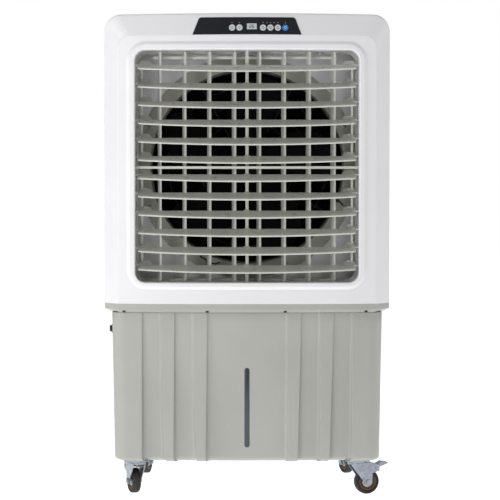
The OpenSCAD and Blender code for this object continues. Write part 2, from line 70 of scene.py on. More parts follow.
# ---- driving sizes, in metres ----
LOW, HIGH = cad_box
HALF_W = HIGH.x
TOP_Z = HIGH.z
LIP_Y = LOW.y
FACE_Y = LIP_Y + 4 * MM                  # front face at the middle
SEAM_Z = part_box("front_bezel")[0].z
SPLIT_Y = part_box("housing_shell")[0].y   # joint between front moulding and housing shell
FACE_HALF = HALF_W - 37 * MM
BOW = 18 * MM
BOW_R = (FACE_HALF ** 2 + BOW ** 2) / (2 * BOW)
BAND_Z = 1.163                           # where the front leans back
BAND_LEAN = math.radians(12)
OUTLET_Z = 0.835
OUTLET_HALF = 0.281
OUTLET_RISE = 0.291
DUCT_Y = LIP_Y + 108 * MM
CRANK_X = 0.1887
FAN_CENTRE = Vector((0, 0, OUTLET_Z))
TANK_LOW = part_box("water_tank")[0]
TANK_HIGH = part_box("water_tank")[1]


# ---- camera, light, floor ----

CAMERA_BACK = 4.745                      # from the lip
CAMERA_HIGH = 0.805
CAMERA_DIP = math.radians(2.16)
LENS = 136.7


def make_camera():
    data = bpy.data.cameras.new("camera")
    data.sensor_width = 36
    data.lens = LENS
    data.shift_x = 0.006
    data.clip_end = 50
    cam = bpy.data.objects.new("camera", data)
    cam.location = (0, LIP_Y - CAMERA_BACK, CAMERA_HIGH)
    cam.rotation_euler = (math.radians(90) - CAMERA_DIP, 0, 0)
    bpy.context.scene.collection.objects.link(cam)
    bpy.context.scene.camera = cam


def area_light(name, place, target, size, power, colour=(1, 1, 1)):
    data = bpy.data.lights.new(name, "AREA")
    data.shape = "RECTANGLE"
    data.size, data.size_y = size
    data.energy = power
    data.color = colour
    lamp = bpy.data.objects.new(name, data)
    lamp.location = place
    lamp.rotation_euler = (Vector(target) - Vector(place)).to_track_quat("-Z", "Y").to_euler()
    bpy.context.scene.collection.objects.link(lamp)


def make_lights():
    area_light("key", (-1.7, -3.2, 1.0), (0, 0, 0.75), (1.1, 1.3), 25)
    area_light("left", (-2.7, -1.2, 0.8), (0, 0, 0.6), (0.7, 2.0), 19)
    area_light("right", (3.0, 0.1, 0.9), (0, 0, 0.7), (1.2, 2.0), 12)
    area_light("rear", (1.0, 3.6, 1.8), (0, 0, 0.7), (2.6, 2.0), 16)
    area_light("top", (0, -0.3, 3.6), (0, 0, 1.2), (2.4, 2.4), 22)


def make_world():
    """White behind everything, a dimmer white as light."""
    world = bpy.data.worlds.new("world")
    bpy.context.scene.world = world
    world.use_nodes = True
    tree = world.node_tree
    light = tree.nodes["Background"]
    light.inputs["Color"].default_value = (1, 1, 1, 1)
    light.inputs["Strength"].default_value = 0.16
    white = tree.nodes.new("ShaderNodeBackground")
    white.inputs["Color"].default_value = (1, 1, 1, 1)
    white.inputs["Strength"].default_value = 1.0
    choose = tree.nodes.new("ShaderNodeMixShader")
    path = tree.nodes.new("ShaderNodeLightPath")
    tree.links.new(path.outputs["Is Camera Ray"], choose.inputs["Fac"])
    tree.links.new(light.outputs["Background"], choose.inputs[1])
    tree.links.new(white.outputs["Background"], choose.inputs[2])
    tree.links.new(choose.outputs["Shader"], tree.nodes["World Output"].inputs["Surface"])


def make_floor():
    bm = bmesh.new()
    bmesh.ops.create_circle(bm, cap_ends=True, radius=14, segments=96)
    mesh = bpy.data.meshes.new("floor")
    bm.to_mesh(mesh)
    bm.free()
    floor = bpy.data.objects.new("floor", mesh)
    bpy.context.scene.collection.objects.link(floor)
    material = bpy.data.materials.new("floor_paint")
    material.use_nodes = True
    shader = material.node_tree.nodes["Principled BSDF"]
    shader.inputs["Base Color"].default_value = (0.9, 0.9, 0.9, 1)
    shader.inputs["Roughness"].default_value = 1.0
    shader.inputs["Emission Color"].default_value = (1, 1, 1, 1)
    shader.inputs["Emission Strength"].default_value = 0.9
    mesh.materials.append(material)


# ---- materials ----

def shade(value):
    """sRGB 0-255 to linear."""
    return tuple(((c / 255 + 0.055) / 1.055) ** 2.4 if c > 10 else c / 255 / 12.92 for c in value)


class Paint:
    """A node tree with the few nodes that every finish here is made of."""

    def __init__(self, name, metallic=0.0, coat=0.0, ior=1.46):
        self.material = bpy.data.materials.new(name)
        self.material.use_nodes = True
        self.tree = self.material.node_tree
        self.shader = self.tree.nodes["Principled BSDF"]
        self.shader.inputs["Metallic"].default_value = metallic
        self.shader.inputs["Coat Weight"].default_value = coat
        self.shader.inputs["Coat Roughness"].default_value = 0.08
        self.shader.inputs["IOR"].default_value = ior
        self.place = self.node("ShaderNodeTexCoord").outputs["Object"]

    def node(self, kind, **values):
        made = self.tree.nodes.new(kind)
        for key, value in values.items():
            setattr(made, key, value)
        return made

    def link(self, a, b):
        self.tree.links.new(a, b)

    def noise(self, scale, detail=3, stretch=(1, 1, 1)):
        mapping = self.node("ShaderNodeMapping")
        mapping.inputs["Scale"].default_value = stretch
        self.link(self.place, mapping.inputs["Vector"])
        made = self.node("ShaderNodeTexNoise")
        made.inputs["Scale"].default_value = scale
        made.inputs["Detail"].default_value = detail
        self.link(mapping.outputs["Vector"], made.inputs["Vector"])
        return made.outputs["Fac"]

    def ramp(self, source, low, high, start=0.35, end=0.65):
        made = self.node("ShaderNodeValToRGB")
        made.color_ramp.elements[0].position = start
        made.color_ramp.elements[1].position = end
        made.color_ramp.elements[0].color = (*low, 1)
        made.color_ramp.elements[1].color = (*high, 1)
        self.link(source, made.inputs["Fac"])
        return made.outputs["Color"]

    def spread(self, source, low, high):
        made = self.node("ShaderNodeMapRange")
        made.inputs["From Min"].default_value = 0.3
        made.inputs["From Max"].default_value = 0.7
        made.inputs["To Min"].default_value = low
        made.inputs["To Max"].default_value = high
        self.link(source, made.inputs["Value"])
        return made.outputs["Result"]

    def mix(self, factor, a, b, mode="MIX"):
        made = self.node("ShaderNodeMix", data_type="RGBA", blend_type=mode)
        self.link(factor, made.inputs["Factor"])
        for value, socket in ((a, made.inputs["A"]), (b, made.inputs["B"])):
            if isinstance(value, tuple):
                socket.default_value = (*value, 1)
            else:
                self.link(value, socket)
        return made.outputs["Result"]

    def colour(self, source):
        self.link(source, self.shader.inputs["Base Color"])

    def rough(self, source):
        self.link(source, self.shader.inputs["Roughness"])

    def bump(self, source, depth, under=None):
        made = self.node("ShaderNodeBump")
        made.inputs["Strength"].default_value = 1.0
        made.inputs["Distance"].default_value = depth
        self.link(source, made.inputs["Height"])
        if under is not None:
            self.link(under, made.inputs["Normal"])
        return made.outputs["Normal"]

    def normal(self, source):
        self.link(source, self.shader.inputs["Normal"])


def tinted(base, change):
    return tuple(max(0.0, min(1.0, c * change)) for c in base)


def plastic(name, srgb, rough=0.4, vary=0.04, grain=900, grain_depth=0.00006, ior=1.46):
    """Moulded plastic: slight colour drift, a few paler scuffs, fine texture."""
    paint = Paint(name, ior=ior)
    base = shade(srgb)
    drift = paint.ramp(paint.noise(5, 2), tinted(base, 1 - vary), tinted(base, 1 + vary))
    scuffs = paint.ramp(paint.noise(70, 6, (1, 1, 0.3)), (0, 0, 0), (1, 1, 1), 0.62, 0.8)
    paint.colour(paint.mix(scuffs, drift, tinted(base, 1 + 2 * vary)))
    paint.rough(paint.spread(paint.noise(40, 4), rough - 0.05, rough + 0.06))
    fine = paint.bump(paint.noise(grain, 2), grain_depth)
    paint.normal(paint.bump(paint.noise(22, 1), 0.00012, fine))
    return paint.material


def metal(name, srgb, rough=0.32, brushed=(1, 1, 1)):
    """Plated or cast metal: patchy bloom, fine scratches."""
    paint = Paint(name, metallic=0.9)
    base = shade(srgb)
    bloom = paint.ramp(paint.noise(60, 5), tinted(base, 0.78), tinted(base, 1.1), 0.3, 0.7)
    paint.colour(bloom)
    paint.rough(paint.spread(paint.noise(220, 4, brushed), rough - 0.08, rough + 0.14))
    paint.normal(paint.bump(paint.noise(500, 3, brushed), 0.00005))
    return paint.material


def glossy(name, srgb, rough=0.08):
    """Hard gloss film with faint smears."""
    paint = Paint(name, coat=0.6, ior=1.5)
    base = shade(srgb)
    paint.colour(paint.ramp(paint.noise(9, 3), tinted(base, 0.85), tinted(base, 1.15)))
    paint.rough(paint.spread(paint.noise(14, 5), rough, rough + 0.09))
    paint.normal(paint.bump(paint.noise(18, 1), 0.00003))
    return paint.material


def rubber(name, srgb):
    """Solid tyre: dull, dusty, finely pitted."""
    paint = Paint(name)
    base = shade(srgb)
    dust = paint.ramp(paint.noise(120, 5), base, tinted(shade((96, 94, 88)), 0.6), 0.5, 0.85)
    paint.colour(dust)
    paint.rough(paint.spread(paint.noise(60, 4), 0.55, 0.8))
    paint.normal(paint.bump(paint.noise(700, 3), 0.00012))
    return paint.material


def paper(name):
    """Impregnated kraft paper: fibres, with broad patches of a plain brown."""
    paint = Paint(name)
    fibre = paint.ramp(paint.noise(260, 5, (1, 1, 0.25)), shade((52, 40, 28)), shade((84, 66, 46)))
    paint.colour(paint.mix(paint.noise(12, 3), fibre, shade((66, 52, 36))))
    paint.rough(paint.spread(paint.noise(90, 3), 0.75, 0.95))
    paint.normal(paint.bump(paint.noise(500, 4), 0.00015))
    return paint.material


def make_materials():
    return {
        "tank": plastic("tank_plastic", (173, 174, 168), 0.42, 0.03, 1100, 0.00008),
        "deck": plastic("deck_plastic", (174, 175, 169), 0.4, 0.03, 1100, 0.00008),
        "white": plastic("white_plastic", (234, 234, 237), 0.34, 0.012, 900, 0.00004),
        "blade": plastic("blade_plastic", (206, 207, 198), 0.3, 0.03, 1200, 0.00003),
        "vane": plastic("vane_plastic", (214, 215, 208), 0.4, 0.03, 1200, 0.00004),
        "ring": plastic("ring_plastic", (172, 172, 162), 0.45, 0.04),
        "black": plastic("black_plastic", (20, 20, 22), 0.42, 0.1),
        # fan: black plastic, darkened further as painted shade for the dark inside of the housing
        "fan": plastic("fan_black_and_painted_shade", (7, 7, 8), 0.6, 0.1, ior=1.2),
        "wire": plastic("wire_coating", (18, 18, 19), 0.35, 0.1),
        "zinc": metal("zinc_plate", (158, 164, 174), 0.3),
        "steel": metal("steel_screw", (170, 172, 176), 0.3),
        "motor": metal("motor_casting", (120, 122, 126), 0.45),
        "panel": glossy("panel_film", (20, 22, 30), 0.3),
        "window": glossy("smoked_window", (40, 48, 64), 0.3),
        "lens": glossy("display_lens", (205, 212, 218), 0.12),
        "digit": glossy("display_digit", (40, 44, 52), 0.2),
        "button": plastic("button_plastic", (205, 209, 214), 0.35, 0.02),
        "blue": plastic("blue_plastic", (30, 125, 205), 0.3, 0.03),
        "mark": plastic("print_mark", (150, 154, 162), 0.5, 0.02),
        "dark_mark": plastic("dark_print_mark", (46, 50, 58), 0.5, 0.02),
        "tread": rubber("tyre_rubber", (38, 38, 36)),
        "wall": rubber("tyre_wall", (16, 28, 40)),
        "brown": plastic("hub_plastic", (96, 70, 28), 0.5, 0.08),
        "paper": paper("pad_paper"),
        # black sheet inside the pads: painted shade for their dark inside
        "pad_shade_sheet": plastic("pad_shade_sheet", (10, 9, 8), 0.9, 0.2, 300, 0.0003, ior=1.2),
    }


# ---- mesh helpers ----

def make_piece(name, verts, faces, material, body=ROOT, smooth_angle=30, replaces=()):
    mesh = bpy.data.meshes.new(name)
    mesh.from_pydata([tuple(v) for v in verts], [], faces)
    return finish_piece(name, mesh, material, body, smooth_angle, replaces)


def finish_piece(name, mesh, material, body, smooth_angle=30, replaces=()):
    bm = bmesh.new()
    bm.from_mesh(mesh)
    bmesh.ops.recalc_face_normals(bm, faces=bm.faces)
    bm.to_mesh(mesh)
    bm.free()
    mesh.shade_smooth()
    mesh.set_sharp_from_angle(angle=math.radians(smooth_angle))
    if not mesh.materials:
        mesh.materials.append(MATERIALS[material])
    piece = bpy.data.objects.new(name, mesh)
    bpy.context.scene.collection.objects.link(piece)
    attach(piece, body)
    if replaces:
        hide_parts(*replaces)
    return piece


def applied(piece):
    """Turns the piece's modifiers into mesh."""
    bpy.context.view_layer.update()
    seen = piece.evaluated_get(bpy.context.evaluated_depsgraph_get())
    mesh = bpy.data.meshes.new_from_object(seen)
    old = piece.data
    piece.modifiers.clear()
    piece.data = mesh
    bpy.data.meshes.remove(old)
    return piece


def bevelled(piece, width, segments=2, angle=32):
    bevel = piece.modifiers.new("bevel", "BEVEL")
    bevel.width = width
    bevel.segments = segments
    bevel.limit_method = "ANGLE"
    bevel.angle_limit = math.radians(angle)
    bevel.harden_normals = False
    bevel.use_clamp_overlap = True
    applied(piece)
    return weighted(piece, 38)


def weighted(piece, sharp_angle):
    """Large faces keep their own shading right up to the small rounded ones beside them."""
    piece.data.shade_smooth()
    piece.data.set_sharp_from_angle(angle=math.radians(sharp_angle))
    normals = piece.modifiers.new("weighted", "WEIGHTED_NORMAL")
    normals.keep_sharp = True
    normals.weight = 80
    return applied(piece)


def refined(node, material, bevel=0.6 * MM, segments=2, angle=32):
    """A finished piece that keeps a node's shape, with moulded edges in place of sharp ones."""
    mesh = NODES[node].data.copy()
    mesh.materials.clear()
    bm = bmesh.new()
    bm.from_mesh(mesh)
    bmesh.ops.remove_doubles(bm, verts=bm.verts, dist=0.01 * MM)
    bmesh.ops.dissolve_limit(bm, angle_limit=math.radians(0.6), verts=bm.verts, edges=bm.edges)
    bm.to_mesh(mesh)
    bm.free()
    piece = finish_piece(node + "_shell", mesh, material, BODY[node], 32, (node,))
    return bevelled(piece, bevel, segments, angle)


def closed_loft(loops, wrap=False):
    """Faces between equal closed loops of points; wrap joins the last loop to the first."""
    n = len(loops[0])
    verts = [p for loop in loops for p in loop]
    faces = []
    for i in range(len(loops) if wrap else len(loops) - 1):
        a, b = i * n, ((i + 1) % len(loops)) * n
        for k in range(n):
            m = (k + 1) % n
            faces.append((a + k, a + m, b + m, b + k))
    return verts, faces


def tube(points, radius, sides=10):
    """A closed tube along points."""
    verts, faces = [], []
    across = None
    for i, p in enumerate(points):
        a, b = points[max(i - 1, 0)], points[min(i + 1, len(points) - 1)]
        along = (Vector(b) - Vector(a)).normalized()
        if across is None:
            across = along.orthogonal().normalized()
        across = (across - along * across.dot(along)).normalized()
        side = along.cross(across)
        for k in range(sides):
            t = 2 * math.pi * k / sides
            verts.append(Vector(p) + (across * math.cos(t) + side * math.sin(t)) * radius)
    for i in range(len(points) - 1):
        for k in range(sides):
            m = (k + 1) % sides
            faces.append((i * sides + k, i * sides + m, (i + 1) * sides + m, (i + 1) * sides + k))
    faces.append(tuple(range(sides)))
    faces.append(tuple(range(len(verts) - sides, len(verts))))
    return verts, faces


def revolved(profile, centre, axis, segments=64):
    """Turns (along, radius) points round an axis; the ends close on the axis or as a ring."""
    axis = Vector(axis).normalized()
    u = axis.orthogonal().normalized()
    v = axis.cross(u)
    loops = []
    for k in range(segments):
        t = 2 * math.pi * k / segments
        out = u * math.cos(t) + v * math.sin(t)
        loops.append([Vector(centre) + axis * a + out * r for a, r in profile])
    n = len(profile)
    verts = [p for loop in loops for p in loop]
    faces = []
    for k in range(segments):
        m = (k + 1) % segments
        for i in range(n):
            j = (i + 1) % n
            faces.append((k * n + i, m * n + i, m * n + j, k * n + j))
    return verts, faces


def cuboid(low, high):
    (x0, y0, z0), (x1, y1, z1) = low, high
    verts = [(x, y, z) for z in (z0, z1) for x, y in ((x0, y0), (x1, y0), (x1, y1), (x0, y1))]
    return verts, [(0, 1, 2, 3), (4, 5, 6, 7), (0, 1, 5, 4), (1, 2, 6, 5), (2, 3, 7, 6), (3, 0, 4, 7)]


def joined(*parts):
    verts, faces = [], []
    for v, f in parts:
        start = len(verts)
        verts += list(v)
        faces += [tuple(i + start for i in face) for face in f]
    return verts, faces


def bow_y(x, front=FACE_Y):
    return front + BOW_R - math.sqrt(BOW_R ** 2 - x ** 2)


def rounded_rect(half, low, high, r_top, r_low, runs=(32, 22), arc=10):
    """(x, z) round a rectangle with rounded corners, each followed by its outward direction."""
    points = []

    def run(a, b, n, normal):
        for i in range(n):
            t = i / n
            points.append((a[0] + (b[0] - a[0]) * t, a[1] + (b[1] - a[1]) * t, *normal))

    def corner(cx, cz, r, start):
        for i in range(arc):
            t = math.radians(start + 90 * i / arc)
            points.append((cx + r * math.cos(t), cz + r * math.sin(t), math.cos(t), math.sin(t)))

    run((-half + r_low, low), (half - r_low, low), runs[0], (0, -1))
    corner(half - r_low, low + r_low, r_low, -90)
    run((half, low + r_low), (half, high - r_top), runs[1], (1, 0))
    corner(half - r_top, high - r_top, r_top, 0)
    run((half - r_top, high), (-half + r_top, high), runs[0], (0, 1))
    corner(-half + r_top, high - r_top, r_top, 90)
    run((-half, high - r_top), (-half, low + r_low), runs[1], (-1, 0))
    corner(-half + r_low, low + r_low, r_low, 180)
    return points


# ---- white housing ----

def crown(x):
    """The top sinks 3 mm towards the sides."""
    return -3 * MM * (x / HALF_W) ** 2


def front_moulding():
    """One skin: outer edge, chamfers and leaning top band, face, lip, duct, and back over the inside."""
    side_y = bow_y(FACE_HALF) + 50 * MM

    def outer(inset, top_y, side, drop=0.0):
        loop = []
        edge = rounded_rect(HALF_W - inset, SEAM_Z, TOP_Z - inset - drop, 44 * MM - inset, 0.8 * MM)
        for x, z, _, nz in edge:
            up = max(0.0, nz)
            y_top = bow_y(max(-FACE_HALF, min(FACE_HALF, x))) + top_y if top_y is not None else side
            loop.append((x, side + (y_top - side) * up ** 1.5, z + crown(x) * up))
        return loop

    def face(half, low, high, r_top, r_low, proud, flat=None):
        return [(x, bow_y(x) - proud if flat is None else flat, z)
                for x, z, _, _ in rounded_rect(half, low, high, r_top, r_low)]

    lip_half, lip_low, lip_high = 302.5 * MM, 0.526, 1.1475
    o_low, o_high = OUTLET_Z - OUTLET_RISE, OUTLET_Z + OUTLET_RISE
    wall = 3.5 * MM
    loops = [
        outer(0, None, SPLIT_Y),
        outer(0, 15 * MM, side_y),
        outer(1.2 * MM, 11.5 * MM, side_y - 2.5 * MM, 2 * MM),
        outer(3 * MM, 10 * MM, side_y - 5 * MM, 5 * MM),
        face(FACE_HALF + 1.5 * MM, SEAM_Z, BAND_Z + 2 * MM, 35 * MM, 0.8 * MM, -0.9 * MM),
        face(FACE_HALF - 1 * MM, SEAM_Z, BAND_Z - 1.5 * MM, 33 * MM, 0.8 * MM, 0),
        face(lip_half, lip_low, lip_high, 50 * MM, 50 * MM, 0),
        face(lip_half - 8 * MM, lip_low + 8 * MM, lip_high - 8 * MM, 43 * MM, 43 * MM, 4 * MM),
        face(OUTLET_HALF + 3 * MM, o_low - 3 * MM, o_high + 3 * MM, 29 * MM, 29 * MM, 4 * MM),
        face(OUTLET_HALF + 0.8 * MM, o_low - 0.8 * MM, o_high + 0.8 * MM, 27 * MM, 27 * MM, 3 * MM),
        face(OUTLET_HALF, o_low, o_high, 26 * MM, 26 * MM, 0.5 * MM),
        face(OUTLET_HALF, o_low, o_high, 26 * MM, 26 * MM, 0, DUCT_Y),
        face(OUTLET_HALF + 2.8 * MM, o_low - 2.8 * MM, o_high + 2.8 * MM, 29 * MM, 29 * MM, 0, DUCT_Y),
        face(OUTLET_HALF + 2.8 * MM, o_low - 2.8 * MM, o_high + 2.8 * MM, 29 * MM, 29 * MM, -6 * MM),
        face(FACE_HALF - 8 * MM, SEAM_Z, BAND_Z - 6 * MM, 30 * MM, 0.8 * MM, -wall),
        outer(wall, 15 * MM, side_y, 3 * MM),
        outer(wall, None, SPLIT_Y),
    ]
    verts, faces = closed_loft(loops, wrap=True)
    piece = make_piece("front_moulding", verts, faces, "white",
                       replaces=("front_bezel",))
    bevelled(piece, 1.6 * MM, 3, 14)
    cut_crank_slot(piece)
    true_bow_normals(piece)


def cut_crank_slot(piece):
    """Slot in the top of the duct, through which the swing motor reaches the vane link."""
    x, y, z = CRANK_X, LIP_Y + 95.5 * MM, OUTLET_Z + OUTLET_RISE
    outline = []
    for side, start in ((1, -90), (-1, 90)):
        for i in range(13):
            t = math.radians(start + 15 * i)
            outline.append((x + side * 5 * MM + 12 * MM * math.cos(t), y + 12 * MM * math.sin(t)))
    n = len(outline)
    verts = [(a, b, z + h) for h in (-2 * MM, 8 * MM) for a, b in outline]
    faces = [tuple(range(n)), tuple(range(n, 2 * n))]
    faces += [(k, (k + 1) % n, (k + 1) % n + n, k + n) for k in range(n)]
    mesh = bpy.data.meshes.new("slot_cutter")
    mesh.from_pydata(verts, [], faces)
    bm = bmesh.new()
    bm.from_mesh(mesh)
    bmesh.ops.recalc_face_normals(bm, faces=bm.faces)
    bm.to_mesh(mesh)
    bm.free()
    cutter = bpy.data.objects.new("slot_cutter", mesh)
    bpy.context.scene.collection.objects.link(cutter)
    cut = piece.modifiers.new("slot", "BOOLEAN")
    cut.operation = "DIFFERENCE"
    cut.solver = "EXACT"
    cut.object = cutter
    applied(piece)
    bpy.data.objects.remove(cutter)


def true_bow_normals(piece):
    """The front is one smooth bow: its faces take the bow's own normals."""
    mesh = piece.data
    normals = [Vector(n.vector) for n in mesh.corner_normals]
    for polygon in mesh.polygons:
        if polygon.normal.y > -0.985 or polygon.area < 3e-5:
            continue
        for corner in polygon.loop_indices:
            x = mesh.vertices[mesh.loops[corner].vertex_index].co.x
            normals[corner] = Vector((x / math.sqrt(BOW_R ** 2 - x ** 2), -1, 0)).normalized()
    mesh.normals_split_custom_set(normals)


def housing():
    refined("housing_shell", "white", 1.2 * MM, 3)


# ---- water tank ----

TANK_WALL = 4 * MM
TANK_RADIUS = 38 * MM
CHANNELS_FRONT = [(-0.242, 0.022), (-0.16, 0.022), (0, 0.099), (0.16, 0.022), (0.242, 0.022)]
CHANNELS_SIDE = [(-0.075, 0.022), (0.075, 0.022)]
CHANNELS_BACK = [(-0.16, 0.022), (0, 0.022), (0.16, 0.022)]


def channel_depth(z):
    return 3.5 * MM + 13.5 * MM * (TANK_HIGH.z - z) / (TANK_HIGH.z - TANK_LOW.z)


CREST = 1.2 * MM    # rounding at the edge of a raised rib


def channel_side(inside, depth):
    """From the rib's edge a steep wall that runs out in a wide fillet to the channel's floor."""
    if inside <= -CREST:
        return 0.0
    reach = 1.5 * MM + 0.62 * depth
    t = min(1.0, (inside + CREST) / (reach + CREST))
    fillet = math.sqrt(1 - (1 - t) ** 2)
    soft = min(1.0, (inside + CREST) / (2 * CREST))
    return depth * fillet * soft ** 0.8


def recess(s, z, channels):
    """How deep the wall is set back at distance s along it."""
    depth = channel_depth(z)
    grow = 6.5 * MM * (TANK_HIGH.z - z) / (TANK_HIGH.z - TANK_LOW.z)
    return max(channel_side(half + grow - abs(s - centre), depth) for centre, half in channels)


def stations(half, channels):
    """Distances along a wall, close together where a channel's side stands."""
    found = {-half, half}
    for i in range(1, 24):
        found.add(-half + 2 * half * i / 24)
    for centre, width in channels:
        for side in (-1, 1):
            for k in range(-3, 22):
                s = centre + side * (width + 7 * MM - k * 0.9 * MM)
                if -half < s < half:
                    found.add(s)
    return sorted(found)


FRONT_STATIONS = stations(TANK_HIGH.x - TANK_RADIUS, CHANNELS_FRONT)
BACK_STATIONS = stations(TANK_HIGH.x - TANK_RADIUS, CHANNELS_BACK)
SIDE_HALF = (TANK_HIGH.y - TANK_LOW.y) / 2 - TANK_RADIUS - 8 * MM
SIDE_STATIONS = stations(SIDE_HALF, CHANNELS_SIDE)


def tank_loop(z, inset=0.0, shrink=0.0):
    """The tank's outline at height z, moved in by inset, and by shrink too at the rounded foot."""
    draft = 6 * MM * (TANK_HIGH.z - z) / (TANK_HIGH.z - TANK_LOW.z)
    half = TANK_HIGH.x - draft - inset - shrink
    front = TANK_LOW.y + draft / 3 + inset + shrink
    back = TANK_HIGH.y - draft / 3 - inset - shrink
    radius = TANK_RADIUS - inset
    corner_x = half - radius
    scale = corner_x / (TANK_HIGH.x - TANK_RADIUS)
    corner_y = bow_y(corner_x, front) + radius
    loop = []
    for s in FRONT_STATIONS:
        loop.append((s * scale, bow_y(s * scale, front) + recess(s, z, CHANNELS_FRONT), z))
    for i in range(1, 10):
        t = math.radians(-90 + 9 * i)
        loop.append((corner_x + radius * math.cos(t), corner_y + radius * math.sin(t), z))
    low_y, high_y = corner_y, back - radius
    for s in SIDE_STATIONS:
        t = (s + SIDE_HALF) / (2 * SIDE_HALF)
        loop.append((half - recess(s, z, CHANNELS_SIDE), low_y + (high_y - low_y) * t, z))
    for i in range(1, 10):
        t = math.radians(9 * i)
        loop.append((corner_x + radius * math.cos(t), back - radius + radius * math.sin(t), z))
    for s in reversed(BACK_STATIONS):
        loop.append((s * scale, back - recess(s, z, CHANNELS_BACK), z))
    for i in range(1, 10):
        t = math.radians(90 + 9 * i)
        loop.append((-corner_x + radius * math.cos(t), back - radius + radius * math.sin(t), z))
    for s in reversed(SIDE_STATIONS):
        t = (s + SIDE_HALF) / (2 * SIDE_HALF)
        loop.append((recess(s, z, CHANNELS_SIDE) - half, low_y + (high_y - low_y) * t, z))
    for i in range(1, 10):
        t = math.radians(180 + 9 * i)
        loop.append((-corner_x + radius * math.cos(t), corner_y + radius * math.sin(t), z))
    return loop


def tank():
    foot = 11 * MM
    loops = []
    for i in range(9):
        t = math.radians(90 * i / 8)
        loops.append(tank_loop(TANK_LOW.z + foot * (1 - math.sin(t)) if i else TANK_LOW.z + foot, 0,
                               foot * (1 - math.cos(t))))
    loops.reverse()
    rise = TANK_HIGH.z - 2 * MM - TANK_LOW.z - foot
    loops += [tank_loop(TANK_LOW.z + foot + rise * i / 14) for i in range(1, 15)]
    loops.append(tank_loop(TANK_HIGH.z - 0.6 * MM, 0.6 * MM))
    loops.append(tank_loop(TANK_HIGH.z, 2 * MM))
    loops.append(tank_loop(TANK_HIGH.z - 0.6 * MM, TANK_WALL - 0.5 * MM))
    loops += [tank_loop(TANK_HIGH.z - 2 * MM - rise * i / 6, TANK_WALL) for i in range(7)]
    loops.append(tank_loop(TANK_LOW.z + TANK_WALL, TANK_WALL + 8 * MM))
    verts, faces = closed_loft(loops)
    n = len(loops[0])
    faces.append(tuple(range(n)))
    faces.append(tuple(range(len(verts) - n, len(verts))))
    make_piece("tank_moulding", verts, faces, "tank", smooth_angle=60,
               replaces=("water_tank",))


def rim_shadow_strip():
    """Black strip between the tank's rim and the deck: painted shadow for the dark gap under the deck's edge."""
    def loop(z, inset):
        half, front, back = TANK_HIGH.x - inset, TANK_LOW.y + inset, TANK_HIGH.y - inset
        radius = TANK_RADIUS - inset
        corner_x = half - radius
        corner_y = bow_y(corner_x, front) + radius
        xs = [-corner_x + 2 * corner_x * i / 24 for i in range(25)]
        points = [(x, bow_y(x, front), z) for x in xs]
        for cx, cy, start in ((corner_x, corner_y, -90), (corner_x, back - radius, 0),
                              (-corner_x, back - radius, 90), (-corner_x, corner_y, 180)):
            turns = [math.radians(start + a) for a in range(9, 90, 9)]
            points += [(cx + radius * math.cos(t), cy + radius * math.sin(t), z) for t in turns]
            if start == 0:
                points.append((cx, cy + radius, z))
                points.append((-cx, cy + radius, z))
        return points
    top = TANK_HIGH.z + 2.6 * MM
    outside, inside = 2.4 * MM, 5 * MM
    loops = [loop(TANK_HIGH.z, outside), loop(top, outside), loop(top, inside), loop(TANK_HIGH.z, inside)]
    verts, faces = closed_loft(loops, wrap=True)
    # black strip: painted shadow of the gap under the deck
    make_piece("rim_shadow_strip", verts, faces, "black")


def deck_notch_shades():
    """Black blocks under the deck's front edge: painted shade for four small notches there."""
    parts = []
    for x in (-0.31, -0.1, 0.096, 0.3):
        y = bow_y(x) + 6.2 * MM
        parts.append(cuboid((x - 3.5 * MM, y, 0.4682), (x + 3.5 * MM, y + 7 * MM, 0.4725)))
    verts, faces = joined(*parts)
    # black blocks: painted shade of the notches
    make_piece("deck_notch_shades", verts, faces, "black")


def capsule(half_w, low, high, sides=16):
    """Outline of a slot with round ends, as (x, z)."""
    points = []
    for i in range(sides + 1):
        t = math.radians(180 * i / sides)
        points.append((half_w * math.cos(t), high - half_w + half_w * math.sin(t)))
    for i in range(sides + 1):
        t = math.radians(180 + 180 * i / sides)
        points.append((half_w * math.cos(t), low + half_w + half_w * math.sin(t)))
    return points


def level_window():
    """Smoked strip in the sloping floor of the middle channel, ringed by a thin black outline painted as the
    shadow of its groove.
    """
    low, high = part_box("level_window")[0].z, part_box("level_window")[1].z

    def wall_y(z):
        draft = 6 * MM * (TANK_HIGH.z - z) / (TANK_HIGH.z - TANK_LOW.z)
        return TANK_LOW.y + draft / 3 + channel_depth(z)

    def loop(half, grow, proud):
        return [(x, wall_y(z) - proud, z) for x, z in capsule(half, low - grow, high + grow)]

    # The black ring in the first entry is painted shadow of the groove round the window.
    for name, half, grow, heights, material, slot, stands in (
            ("window_groove_shadow", 6.4 * MM, 0.9 * MM, (-2, 0.15), "black", "window_plastic", ()),
            ("window_strip", 5.5 * MM, 0, (-3, 0.4), "window", "window_plastic", ("level_window",))):
        loops = [loop(half, grow, h * MM) for h in heights]
        loops.append(loop(half - 0.6 * MM, grow - 0.6 * MM, heights[1] * MM + 0.25 * MM))
        verts, faces = closed_loft(loops)
        n = len(loops[0])
        faces += [tuple(range(n)), tuple(range(2 * n, 3 * n))]
        make_piece(name, verts, faces, material, replaces=stands)


# ---- louvres ----

BLADES = sorted(n for n in NODES if n.startswith("blade_") and "link" not in n)
BLADE_TILT = math.radians(21)
BLADE_HALF = 0.275
BLADE_CHORD = 46 * MM
BLADE_LEVER = 25 * MM
EDGE_BOW = 20 * MM
EDGE_R = (BLADE_HALF ** 2 + EDGE_BOW ** 2) / (2 * EDGE_BOW)


def blade_front(x):
    """Chordwise place of the front edge: bowed, with rounded ends."""
    bowed = -BLADE_CHORD + EDGE_R - math.sqrt(EDGE_R ** 2 - x ** 2)
    from_end = BLADE_HALF - abs(x)
    r = 6 * MM
    if from_end < r:
        bowed += r - math.sqrt(max(0.0, r ** 2 - (r - from_end) ** 2))
    return bowed


